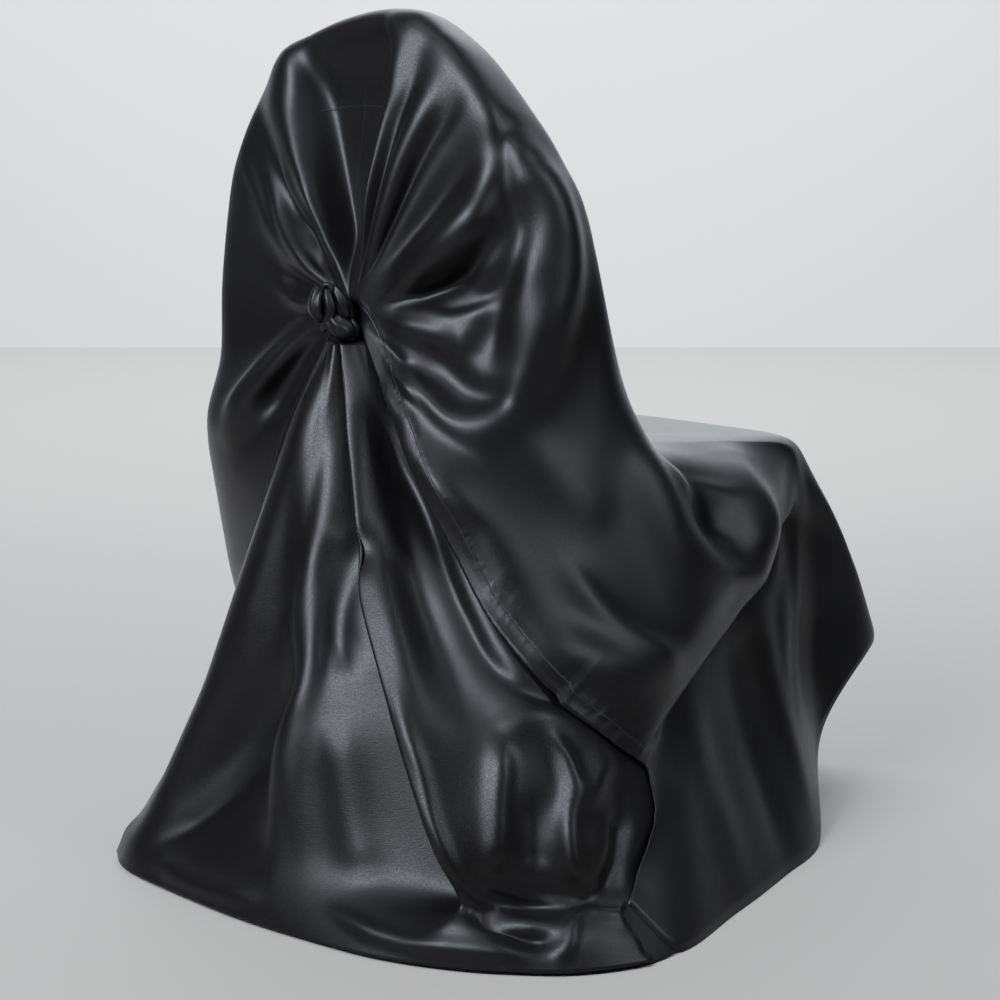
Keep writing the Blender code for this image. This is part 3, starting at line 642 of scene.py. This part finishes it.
coverCreases = (
    Crease("left lip", ((.144, .041, .897), (.123, .057, .875), (.102, .058, .835), (.081, .059, .797),
                        (.066, .065, .764)), .007, .012, 1.4),
    Crease("lip tip", ((.066, .065, .764), (.064, .082, .751), (.069, .094, .739)), .007, .008, 1.6),
    Crease("pocket", ((.073, .088, .726), (.059, .096, .697), (.055, .085, .662), (.037, .089, .644)),
           .008, -.020, 2),
    Crease("pocket left edge", ((.085, .086, .731), (.090, .070, .701), (.074, .077, .675),
                                (.041, .090, .645)), .006, .008, 1.5),
    Crease("pocket right edge", ((.066, .080, .738), (.052, .082, .713), (.035, .089, .682),
                                 (.019, .096, .656)), .006, .008, 1.5),
    Crease("broad left pleat", ((.167, .042, .858), (.140, .056, .824), (.115, .067, .785),
                                (.103, .079, .747), (.103, .070, .715)), .018, .007, 2),
    Crease("left valley", ((.188, .042, .840), (.159, .059, .795), (.127, .067, .748), (.102, .068, .696),
                           (.049, .091, .647)), .009, -.006, 2),
    Crease("left second ridge", ((.186, .054, .795), (.153, .062, .747), (.124, .070, .701),
                                 (.082, .083, .666), (.043, .096, .639)), .008, .005, 2),
    Crease("left second valley", ((.202, .049, .792), (.170, .061, .750), (.138, .069, .703),
                                  (.088, .083, .660), (.043, .099, .633)), .007, -.005, 2),
    Crease("left third ridge", ((.215, .045, .783), (.185, .058, .749), (.149, .068, .704),
                                (.094, .083, .660), (.047, .099, .628)), .007, .004, 2),
    Crease("left loop top", ((.130, .078, .653), (.104, .086, .656), (.075, .094, .643),
                             (.049, .096, .624)), .006, .008, 1.6),
    Crease("left loop core", ((.122, .082, .648), (.088, .093, .639), (.060, .094, .624)), .006, -.010, 2),
    Crease("left loop foot", ((.136, .077, .643), (.112, .082, .626), (.078, .087, .614),
                              (.055, .090, .611)), .006, .007, 1.6),
    Crease("left wing top", ((.051, .090, .602), (.083, .088, .582), (.118, .094, .547),
                             (.145, .102, .511), (.180, .111, .477)), .009, .016, 1.5),
    Crease("left wing foot", ((.038, .100, .586), (.070, .098, .556), (.095, .104, .520),
                              (.120, .118, .480)), .013, -.016, 2),
    Crease("recess left", ((.097, .048, .885), (.071, .060, .830), (.046, .069, .775), (.030, .078, .716)),
           .010, -.006, 2),
    Crease("top crest", ((-.010, .030, .935), (-.017, .041, .927), (-.028, .053, .895), (-.029, .063, .847)),
           .008, .009, 1.4),
    Crease("right lip ridge", ((-.068, .043, .890), (-.043, .050, .847), (-.028, .068, .799),
                               (-.022, .083, .745), (-.016, .093, .691), (-.017, .098, .642)), .008, .005, 2),
    Crease("right broad ridge", ((-.100, .044, .863), (-.081, .055, .829), (-.066, .069, .789),
                                 (-.051, .080, .740), (-.036, .087, .692), (-.027, .097, .635)),
           .015, .008, 2),
    Crease("right crease", ((-.128, .041, .850), (-.109, .049, .815), (-.079, .055, .784),
                            (-.053, .068, .735), (-.040, .078, .685), (-.034, .096, .638)), .005, -.006, 1.5),
    Crease("right plateau", ((-.178, .061, .759), (-.160, .076, .723), (-.127, .087, .685),
                             (-.078, .088, .645), (-.044, .092, .621)), .024, .012, 2),
    Crease("curl valley", ((-.163, .020, .829), (-.186, .054, .773), (-.193, .066, .731),
                           (-.190, .066, .695)), .014, -.010, 2),
    Crease("curl ridge", ((-.186, .067, .687), (-.165, .071, .663), (-.136, .081, .651),
                          (-.091, .079, .633), (-.061, .091, .617)), .007, .009, 1.4),
    Crease("curl under", ((-.180, .070, .660), (-.150, .080, .640), (-.110, .084, .625)), .009, -.010, 2),
    Crease("right loop left", ((-.093, .096, .669), (-.071, .094, .647), (-.051, .089, .627)),
           .005, .006, 1.6),
    Crease("right loop core", ((-.092, .093, .661), (-.075, .089, .644), (-.055, .086, .626)),
           .005, -.008, 2),
    Crease("right loop right", ((-.101, .091, .666), (-.089, .085, .648), (-.067, .082, .629),
                                (-.056, .092, .614)), .005, .006, 1.6),
    Crease("side ridge", ((-.175, .016, .816), (-.209, .016, .772), (-.217, .006, .729), (-.221, .004, .685),
                          (-.224, .013, .641), (-.223, .032, .599), (-.218, .054, .556),
                          (-.210, .073, .522)), .020, .010, 2),
    Crease("side valley", ((-.212, .051, .760), (-.209, .058, .709), (-.192, .062, .665),
                           (-.181, .069, .599), (-.185, .082, .550)), .018, -.012, 2),
    Crease("pillow top", ((-.061, .091, .613), (-.095, .083, .617), (-.125, .076, .612),
                          (-.143, .074, .597)), .006, .007, 1.6),
    Crease("pillow end", ((-.143, .073, .604), (-.148, .076, .590), (-.139, .084, .573)), .007, .007, 1.8),
    Crease("pillow foot", ((-.139, .085, .572), (-.117, .089, .573), (-.085, .086, .586),
                           (-.061, .088, .604)), .006, .006, 1.6),
    Crease("pillow crest", ((-.085, .079, .597), (-.102, .076, .595), (-.125, .075, .591)), .010, .006, 2),
    Crease("pillow crease", ((-.052, .093, .606), (-.065, .086, .598), (-.081, .084, .589)),
           .004, -.006, 1.5),
    Crease("swag valley", ((-.040, .098, .590), (-.063, .093, .573), (-.088, .092, .555),
                           (-.126, .093, .532), (-.173, .092, .516), (-.196, .082, .513)), .010, -.014, 1.8),
    Crease("swag run", ((-.061, .103, .562), (-.089, .099, .541), (-.117, .093, .522), (-.149, .093, .508),
                        (-.191, .085, .501), (-.210, .075, .512), (-.216, .060, .545),
                        (-.224, .029, .578)), .009, .010, 1.6),
    Crease("wing light", ((-.070, .112, .540), (-.093, .114, .513), (-.129, .114, .484)), .012, .006, 2),
    Crease("wing face", ((-.107, .119, .493), (-.144, .124, .458), (-.174, .126, .429),
                         (-.202, .122, .405)), .014, .006, 2),
    Crease("wing soft", ((-.219, .070, .491), (-.258, .044, .446), (-.294, -.001, .397)), .018, .006, 2),
    Crease("wing low fold", ((-.280, .071, .367), (-.318, .051, .315), (-.343, .014, .269),
                             (-.356, -.042, .238)), .016, .008, 2),
    Crease("seat edge", ((-.273, -.112, .456), (-.309, -.109, .384), (-.326, -.110, .350),
                         (-.342, -.119, .322)), .012, .010, 1.8),
    Crease("seat swag", ((-.281, -.105, .454), (-.297, -.113, .432), (-.275, -.187, .405),
                         (-.292, -.231, .395), (-.297, -.244, .396)), .009, .009, 1.6),
    Crease("seat hollow", ((-.317, -.099, .413), (-.322, -.123, .386), (-.305, -.180, .365),
                           (-.320, -.202, .353)), .018, -.010, 2),
    Crease("seat corner line", ((-.213, -.321, .442), (-.266, -.272, .424), (-.297, -.244, .396),
                                (-.329, -.232, .353), (-.335, -.250, .328)), .008, .008, 1.6),
    Crease("seat low line", ((-.344, -.106, .350), (-.336, -.166, .329), (-.340, -.215, .311),
                             (-.332, -.250, .316)), .007, .007, 1.6),
    Crease("seat low swag", ((-.329, -.110, .344), (-.348, -.139, .326), (-.345, -.200, .312),
                             (-.315, -.259, .301)), .009, .010, 1.6),
    Crease("seat ridge", ((-.225, -.304, .440), (-.276, -.274, .400), (-.314, -.263, .349)), .011, .012, 1.6),
    Crease("seat rim", ((-.248, -.430, .401), (-.268, -.384, .351), (-.266, -.370, .312),
                        (-.285, -.326, .272), (-.300, -.256, .248), (-.345, -.112, .253)), .010, .006, 1.8),
    Crease("skirt one", ((-.275, -.378, .263), (-.300, -.334, .207), (-.326, -.294, .139)), .010, .004, 2),
    Crease("skirt two", ((-.257, -.430, .363), (-.263, -.414, .286), (-.289, -.375, .206),
                         (-.346, -.293, .104)), .010, .004, 2),
    Crease("skirt three", ((-.257, -.456, .329), (-.271, -.451, .231), (-.306, -.395, .121)), .012, -.003, 2),
    Crease("skirt seam", ((-.384, .027, .150), (-.377, -.063, .110), (-.388, -.123, .087)), .003, -.003, 1.4),
    Crease("front corner", ((-.249, -.438, .393), (-.264, -.506, .310), (-.283, -.547, .209)), .012, .004, 2),
)


def mirroredLine(name):
    flip = [(-x, y, z) for x, y, z in rightLines[name]]
    flip[0] = (leftReach[name], *flip[0][1:])
    flip[1] = (leftReach[name] - .004, *flip[1][1:])
    return flip


def coverGrid():
    right = list(rightLines.values())
    copies = [mirroredLine(name) for name in reversed(list(rightLines)[3:-1])]
    table = np.array(right + copies + list(leftLines.values()))
    stations = between(np.arange(len(table)), table, placesBetween(cover["columns"]))
    stations[..., 2] = np.maximum(stations[..., 2], 0)
    aims = stations[:, 0]
    turn = np.arctan2(aims[:, 0] - gather[0], aims[:, 2] - gather[2])
    wide, high = cover["ring"]
    ring = gather + np.stack([wide * np.sin(turn), 0 * turn, high * np.cos(turn)], axis=1)
    columns = [walk(np.vstack([start, column]), cover["steps"], cover["bends"])
               for start, column in zip(ring, stations)]
    grid = np.stack(columns, axis=1)
    grid = raised(grid, pleatHeight(grid, coverPleats) + foldHeight(grid, coverFolds) + recessHeight(grid))
    before, after = cover["evened"]
    grid = relaxed(grid, before)
    grid = raised(grid, creaseHeight(grid, coverCreases))
    return relaxed(grid, after)


edgeMeeting = {
    "lastStitch": 116,                 # row of the wing's point
    "rows": (42, 152),                 # of the wing's free edge, from where it leaves the train's collar
    "lap": .0034,                      # from the wing's middle to the train's
    "wingShare": .35,
    "wingWidth": .040,
    "blend": .030,
    "spread": .085,
    "start": 14,                       # rows over which the meeting comes in
}


def metAtEdge(coverSheet, trainSheet):
    # the wing's free edge bent in and the train raised to it, so that the edge lies on the train
    first, last = edgeMeeting["rows"]
    out = normalsOf(trainSheet).reshape(-1, 3)
    flat = trainSheet.reshape(-1, 3)
    edge = coverSheet[first:last, 0]
    nearest = [((flat - point) ** 2).sum(axis=1).argmin() for point in edge]
    gaps = edge - flat[nearest] - out[nearest] * edgeMeeting["lap"]
    lengths = np.linalg.norm(gaps, axis=1, keepdims=True)
    gaps = gaps * np.clip((lengths - edgeMeeting["lap"]) / lengths, 0, 1)
    ramp = smoothStep(0, edgeMeeting["start"], np.arange(last - first))[:, None]
    gaps = gaps * ramp
    across = np.linalg.norm(coverSheet[first:last] - edge[:, None], axis=2)
    bend = np.exp(-(across / edgeMeeting["wingWidth"]) ** 2)[..., None]
    coverSheet = coverSheet.copy()
    coverSheet[first:last] -= edgeMeeting["wingShare"] * gaps[:, None] * bend
    far = np.linalg.norm(flat[:, None] - flat[nearest], axis=2)
    weights = np.exp(-(far / edgeMeeting["blend"]) ** 2) + 1e-12
    blended = (weights[..., None] * gaps).sum(axis=1) / weights.sum(axis=1, keepdims=True)
    fade = np.exp(-(far.min(axis=1) / edgeMeeting["spread"]) ** 2)[:, None]
    moved = flat + (1 - edgeMeeting["wingShare"]) * blended * fade
    trainSheet = moved.reshape(trainSheet.shape)
    trainSheet[..., 2] = np.maximum(trainSheet[..., 2], 0)
    return coverSheet, keptUnder(trainSheet, coverSheet)


def keptUnder(under, over, lap=.0032, part=120, rounds=3):
    # moves points of the lower sheet that come through the upper one back under it,
    # for the upper one's first columns, as many as part says
    some = over[:, :part]
    out = normalsOf(over)[:, :part].reshape(-1, 3)
    flatOver = some.reshape(-1, 3)
    low, high = flatOver.min(axis=0) - .02, flatOver.max(axis=0) + .02
    tree = KDTree(len(flatOver))
    for i, point in enumerate(flatOver):
        tree.insert(point, i)
    tree.balance()
    under = under.copy()
    for _ in range(rounds):
        inside = ((under > low) & (under < high)).all(axis=2)
        for r, c in zip(*np.nonzero(inside)):
            point = under[r, c]
            _, i, _ = tree.find(point)
            if i % part == 0:
                continue
            rise = np.dot(point - flatOver[i], out[i])
            if -lap < rise < .03:
                under[r, c] = point - out[i] * (rise + lap)
        under[:, -1, 2] = np.maximum(under[:, -1, 2], 0)
    return under


def wingHems(grid):
    # distance from the nearer wing's free edge, and along it
    across, along = runs(grid)
    fromRight, fromLeft = across.copy(), across[:, -1:] - across
    fromRight[edgeMeeting["lastStitch"]:] += 1     # below the wing's point the edge has no stitches
    return np.minimum(fromRight, fromLeft), along


def makeCover(grid):
    paint = satinPaint("black_satin_cover", hood=True)
    sheet = makeSheet("cover_cloth", grid, cover["thickness"], paint, wingHems(grid))
    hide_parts("cover_body")
    return sheet


# The train: the back panel under the knot

# collar, high, middle, low, ankle, valley, roll, hem
falls = {
    "left edge": ((.014, .112, .568), (.038, .150, .480), (.073, .182, .340), (.107, .215, .200),
                  (.142, .250, .095), (.160, .275, .045), (.172, .288, .028), (.180, .296, .000)),
    "left flap": ((.008, .118, .566), (.026, .166, .475), (.046, .214, .335), (.064, .258, .200),
                  (.092, .294, .095), (.106, .312, .048), (.118, .324, .024), (.126, .330, .000)),
    "left panel": ((.004, .122, .565), (.006, .172, .470), (-.010, .214, .330), (-.030, .244, .200),
                   (-.030, .278, .095), (-.012, .306, .050), (.008, .334, .024), (.020, .346, .000)),
    "ridge": ((-.002, .124, .565), (-.018, .174, .470), (-.050, .226, .330), (-.086, .276, .200),
              (-.100, .306, .095), (-.098, .326, .050), (-.096, .344, .024), (-.094, .354, .000)),
    "right panel": ((-.008, .124, .565), (-.040, .162, .470), (-.096, .205, .330), (-.150, .252, .200),
                    (-.180, .280, .095), (-.196, .304, .044), (-.212, .334, .034), (-.218, .348, .000)),
    "tail under": ((-.016, .108, .566), (-.066, .108, .470), (-.146, .150, .330), (-.250, .198, .200),
                   (-.310, .226, .100), (-.312, .246, .042), (-.290, .316, .034), (-.276, .338, .000)),
    "tail edge": ((-.014, .124, .566), (-.050, .157, .470), (-.120, .216, .335), (-.234, .276, .200),
                  (-.302, .300, .102), (-.324, .278, .048), (-.326, .306, .042), (-.332, .318, .000)),
    "tail": ((-.024, .116, .566), (-.080, .132, .470), (-.178, .172, .330), (-.286, .222, .200),
             (-.350, .236, .100), (-.358, .226, .036), (-.374, .272, .045), (-.384, .290, .000)),
    "billow": ((-.028, .112, .566), (-.092, .118, .470), (-.205, .132, .330), (-.322, .158, .200),
               (-.400, .180, .100), (-.412, .180, .040), (-.430, .218, .042), (-.446, .240, .000)),
    "right roll": ((-.030, .108, .566), (-.100, .104, .470), (-.214, .101, .330), (-.328, .095, .200),
                   (-.398, .110, .100), (-.418, .135, .050), (-.460, .160, .026), (-.486, .158, .000)),
    "right edge": ((-.032, .104, .566), (-.108, .090, .470), (-.222, .070, .330), (-.332, .000, .200),
                   (-.384, .020, .100), (-.402, .040, .046), (-.445, .072, .012), (-.464, .080, .000)),
}

train = {
    "thickness": .0016,
    "columns": (15, 20, 20, 20, 20, 22, 20, 20, 18, 12),
    "steps": (24, 24, 24, 18, 18, 12, 12),
    "bends": (.010, .030, .030, .030, .020, .012, .012, .002),
    "evened": (4, 4),
    "floorFade": .03,                  # height under which the creases flatten
    "flat": (.85, .72),
    "area": .42,
}

trainFolds = (
    Fold("left hollow", ((-.070, .262, .250), (-.005, .262, .168), (.070, .304, .050)), .030, -.026),
    Fold("panel ridge", ((-.078, .214, .320), (-.088, .288, .150), (-.106, .346, .030)), .020, .014),
    Fold("panel hollow", ((-.080, .172, .420), (-.082, .212, .335), (-.112, .264, .240)), .016, -.012),
    Fold("tail hollow", ((-.088, .128, .480), (-.185, .172, .326), (-.290, .214, .205)), .030, -.026),
    Fold("tail ridge", ((-.070, .146, .460), (-.152, .196, .327), (-.240, .252, .215)), .014, .008),
    Fold("billow", ((-.292, .205, .205), (-.342, .242, .135), (-.350, .272, .070)), .028, .008),
    Fold("billow hollow", ((-.345, .170, .200), (-.368, .215, .120), (-.385, .240, .060)), .022, -.006),
    Fold("right billow", ((-.362, .120, .190), (-.392, .180, .120), (-.412, .205, .055)), .022, .010),
    Fold("floor hollow", ((-.120, .318, .060), (-.240, .310, .050), (-.330, .290, .045)), .022, -.004),
)
trainCreases = (
    Crease("shadow edge", ((-.051, .138, .504), (-.079, .174, .425), (-.086, .230, .305), (-.089, .258, .231),
                           (-.082, .275, .160), (-.099, .311, .057), (-.114, .345, .026)), .014, .004, 2),
    Crease("left flap", ((-.074, .264, .230), (-.022, .274, .171), (.012, .292, .117), (.051, .308, .066),
                         (.089, .326, .034)), .014, -.010, 1.8),
    Crease("left panel", ((.012, .121, .571), (.007, .150, .519), (.005, .176, .456), (.014, .200, .381),
                          (.023, .224, .306), (.039, .256, .209)), .020, .006, 2),
    Crease("left middle", ((-.013, .123, .573), (-.023, .147, .521), (-.029, .176, .460), (-.033, .209, .377),
                           (-.024, .224, .302), (-.023, .248, .229)), .018, -.005, 2),
    Crease("middle hollow", ((-.088, .189, .403), (-.092, .206, .352), (-.099, .225, .302),
                             (-.127, .240, .245)), .024, -.010, 2),
    Crease("middle light", ((-.128, .257, .206), (-.154, .270, .149), (-.180, .283, .093),
                            (-.213, .296, .050)), .022, .006, 2),
    Crease("tail valley", ((-.061, .119, .522), (-.097, .127, .472), (-.150, .147, .415), (-.198, .170, .350),
                           (-.249, .181, .286), (-.291, .183, .230)), .016, -.012, 2),
    Crease("billow arch", ((-.299, .203, .201), (-.317, .162, .206), (-.332, .114, .193),
                           (-.345, .080, .177)), .012, .008, 1.8),
    Crease("billow left", ((-.307, .207, .203), (-.323, .221, .176), (-.332, .235, .146), (-.341, .245, .116),
                           (-.343, .252, .096), (-.336, .261, .078)), .010, .009, 2),
    Crease("billow middle", ((-.330, .182, .202), (-.346, .168, .190), (-.374, .170, .155),
                             (-.385, .188, .124), (-.397, .198, .090), (-.406, .191, .060),
                             (-.407, .198, .047)), .009, .011, 1.7),
    Crease("billow right", ((-.373, .095, .176), (-.378, .118, .171), (-.384, .139, .158),
                            (-.382, .173, .144)), .009, .009, 1.7),
    Crease("billow valley", ((-.392, .108, .128), (-.402, .128, .102), (-.413, .151, .073),
                             (-.418, .182, .051)), .012, -.010, 2),
    Crease("billow core", ((-.346, .203, .149), (-.359, .213, .113), (-.367, .219, .076)), .014, -.007, 2),
    Crease("tail edge", ((-.200, .246, .260), (-.243, .267, .199), (-.264, .274, .174), (-.294, .287, .123),
                         (-.318, .283, .084), (-.331, .268, .060), (-.366, .246, .041),
                         (-.397, .239, .040)), .006, .006, 1.5),
    Crease("tail hem upper", ((-.325, .274, .075), (-.344, .248, .066), (-.372, .218, .050),
                              (-.408, .200, .046)), .005, .005, 1.6),
    Crease("end fold", ((-.408, .200, .046), (-.419, .224, .038), (-.427, .238, .024),
                        (-.420, .257, .011)), .006, .009, 1.6),
    Crease("roll crest", ((-.185, .329, .031), (-.249, .333, .022), (-.299, .326, .020), (-.351, .306, .020),
                          (-.394, .277, .018), (-.420, .257, .014)), .007, .008, 1.7),
    Crease("right ridge", ((-.408, .200, .046), (-.427, .192, .043), (-.440, .178, .040),
                           (-.443, .143, .037)), .008, .007, 1.8),
    Crease("pocket", ((-.331, .276, .046), (-.368, .272, .038), (-.398, .260, .028),
                      (-.417, .244, .028)), .011, -.016, 2),
    Crease("under the wing", ((-.243, .174, .294), (-.283, .158, .244), (-.322, .123, .206),
                              (-.348, .071, .173), (-.363, .038, .146)), .012, -.008, 2),
    Crease("floor left", ((.085, .330, .024), (-.010, .344, .020), (-.104, .346, .022)), .012, .006, 2),
)
trainPatches = (                       # middle, reach and rounds of the places that are evened out
    ((-.430, .200, .050), (.060, .090, .060), 70),
    ((-.080, .165, .430), (.060, .060, .110), 70),
    ((-.130, .325, .045), (.150, .070, .055), 220),
    ((-.045, .250, .260), (.050, .080, .120), 24),
    ((-.360, .200, .140), (.060, .070, .070), 34),
)


def trainGrid():
    table = np.array(list(falls.values()))
    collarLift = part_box("back_train")[1][2] - tableOrigin.z - .001 - table[:, 0, 2].max()
    table[:, 0, 2] += collarLift
    stations = between(np.arange(len(table)), table, placesBetween(train["columns"]))
    stations[..., 2] = np.maximum(stations[..., 2], 0)
    columns = [walk(column, train["steps"], train["bends"]) for column in stations]
    grid = np.stack(columns, axis=1)
    grid = raised(grid, foldHeight(grid, trainFolds))
    before, after = train["evened"]
    grid = relaxed(grid, before)
    for patch in trainPatches:
        grid = relaxedNear(grid, *patch)
    grid = raised(grid, creaseHeight(grid, trainCreases, narrowing=False), train["floorFade"])
    return relaxed(grid, after)


def makeTrain(grid):
    paint = satinPaint("black_satin_train")
    sheet = makeSheet("train_cloth", grid, train["thickness"], paint, runs(grid))
    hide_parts("back_train")
    return sheet


# The knot

# Each wrap is a rolled strip of the cloth. Its places are to the camera's right, up and out from
# the knot's middle, and its thicknesses are half widths, all in units of the knot's scale.
Wrap = namedtuple("Wrap", "name places thick pleats")
wraps = (
    Wrap("core", ((-8, 26, -6), (-5, 10, -5), (2, -6, -5), (8, -20, -5)), (6, 14, 15, 7), 9),
    Wrap("lower lobe", ((-12, 2, 2), (-3, -9, 7), (7, -15, 8), (16, -23, 4)), (6, 10.5, 10, 4), 7),
    Wrap("left lobe", ((-16, 27, 0), (-20, 17, 2), (-20, 4, 3), (-13, -8, 2)), (5, 8, 9, 5), 6),
    Wrap("strip", ((-12, 27, 5), (-9, 15, 10), (-7, 4, 11), (-11, -8, 8), (-17, -17, 3)),
         (3.5, 5, 5.5, 5, 3), 5),
    Wrap("outer loop", ((-11, 27, 1), (-2, 23, 6), (4, 12, 9), (7, 1, 7), (3, -8, 4)),
         (3, 4.5, 5.5, 5, 3), 5),
    Wrap("top loop", ((-15, 22, 7), (-14, 28, 8), (-9, 29, 9), (-6, 25, 10), (-9, 21, 10)),
         (2, 2.5, 2.6, 2.5, 1.8), 3),
    Wrap("right tip", ((11, -3, 2), (15, -10, 4), (17, -17, 4), (15, -24, 3)), (2.5, 3.5, 3.5, 2), 3),
)
wrapMesh = {
    "scale": .00112,                   # metres in one unit
    "rings": 54,
    "sides": 42,
    "pleatDepth": .07,                 # shares of the thickness
    "finePleats": 17,
    "fineDepth": .028,
}


def wrapPlaces(wrap, right, near):
    keys = np.linspace(0, 1, len(wrap.places))
    spots = np.linspace(0, 1, wrapMesh["rings"])
    table = between(keys, wrap.places, spots) * wrapMesh["scale"]
    thick = between(keys, np.array(wrap.thick, float)[:, None], spots)[:, 0] * wrapMesh["scale"]
    thick = thick * np.sqrt(np.clip(1 - (2 * spots - 1) ** 8, 0, 1))
    path = table[:, :1] * right + table[:, 1:2] * np.array((0, 0, 1)) + table[:, 2:] * near
    ahead = np.gradient(path, axis=0)
    ahead = ahead / np.linalg.norm(ahead, axis=1, keepdims=True)
    side = np.cross(ahead, near)
    side = side / np.linalg.norm(side, axis=1, keepdims=True)
    out = np.cross(side, ahead)
    turn = np.linspace(0, 2 * math.pi, wrapMesh["sides"], endpoint=False)
    pleat = 1 + wrapMesh["pleatDepth"] * np.cos(wrap.pleats * turn + 2.2 * spots[:, None])
    pleat = pleat + wrapMesh["fineDepth"] * np.cos(wrapMesh["finePleats"] * turn + 3 * spots[:, None])
    reach = thick[:, None] * pleat
    return (path[:, None] + side[:, None] * (reach * np.cos(turn))[..., None]
            + out[:, None] * (reach * np.sin(turn))[..., None])


def wrapFaces(first):
    # closed tube: rings joined all round, and a point at each end
    rings, sides = wrapMesh["rings"], wrapMesh["sides"]
    faces = []
    for ring in range(rings - 1):
        for side in range(sides):
            a = first + ring * sides + side
            b = first + ring * sides + (side + 1) % sides
            faces.append((a, a + sides, b + sides, b))
    foot, head = first + rings * sides, first + rings * sides + 1
    last = first + (rings - 1) * sides
    for side in range(sides):
        after = (side + 1) % sides
        faces.append((first + side, first + after, foot))
        faces.append((last + after, last + side, head))
    return faces


def makeKnot():
    low, high = (np.array(c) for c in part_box("knot"))
    middle = (low + high) / 2
    right, near = cameraSides()
    points, faces = [], []
    for wrap in wraps:
        places = wrapPlaces(wrap, right, near) + middle
        faces += wrapFaces(len(points))
        points += [tuple(p) for p in places.reshape(-1, 3)]
        points += [tuple(places[0].mean(axis=0)), tuple(places[-1].mean(axis=0))]
    mesh = bpy.data.meshes.new("knot_cloth")
    mesh.from_pydata(points, [], faces)
    mesh.validate()
    knot = bpy.data.objects.new("knot_cloth", mesh)
    bpy.context.collection.objects.link(knot)
    bpy.ops.object.select_all(action="DESELECT")
    bpy.context.view_layer.objects.active = knot
    knot.select_set(True)
    bpy.ops.object.mode_set(mode="EDIT")
    bpy.ops.mesh.select_all(action="SELECT")
    bpy.ops.mesh.remove_doubles(threshold=.00002)
    bpy.ops.mesh.normals_make_consistent(inside=False)
    bpy.ops.object.mode_set(mode="OBJECT")
    bpy.ops.object.shade_smooth()
    mesh.materials.append(knotPaint())
    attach(knot, "root")
    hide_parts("knot")
    print("knot made:", len(mesh.polygons), "faces")
    return knot


def knotPaint():
    paint = Paint("black_satin_knot")
    place = paint.node("ShaderNodeTexCoord", None, out=3)
    grain = paint.node("ShaderNodeTexNoise", None, Vector=place, Scale=knotSatin["grain"], Detail=2.0)
    clouds = paint.node("ShaderNodeTexNoise", None, Vector=place, Scale=knotSatin["clouds"], Detail=2.0)
    colour = paint.mixed(paint.smooth(clouds, .3, .7), satin["dark"], satin["light"])
    rough = satin["rough"] + (clouds - .5) * satin["roughSpread"]
    return finishSatin(paint, colour, rough, grain, knotSatin["bump"])


makeCamera()
makeRoom()
coverSheet, trainSheet = metAtEdge(coverGrid(), trainGrid())
makeCover(coverSheet)
makeTrain(trainSheet)
makeKnot()
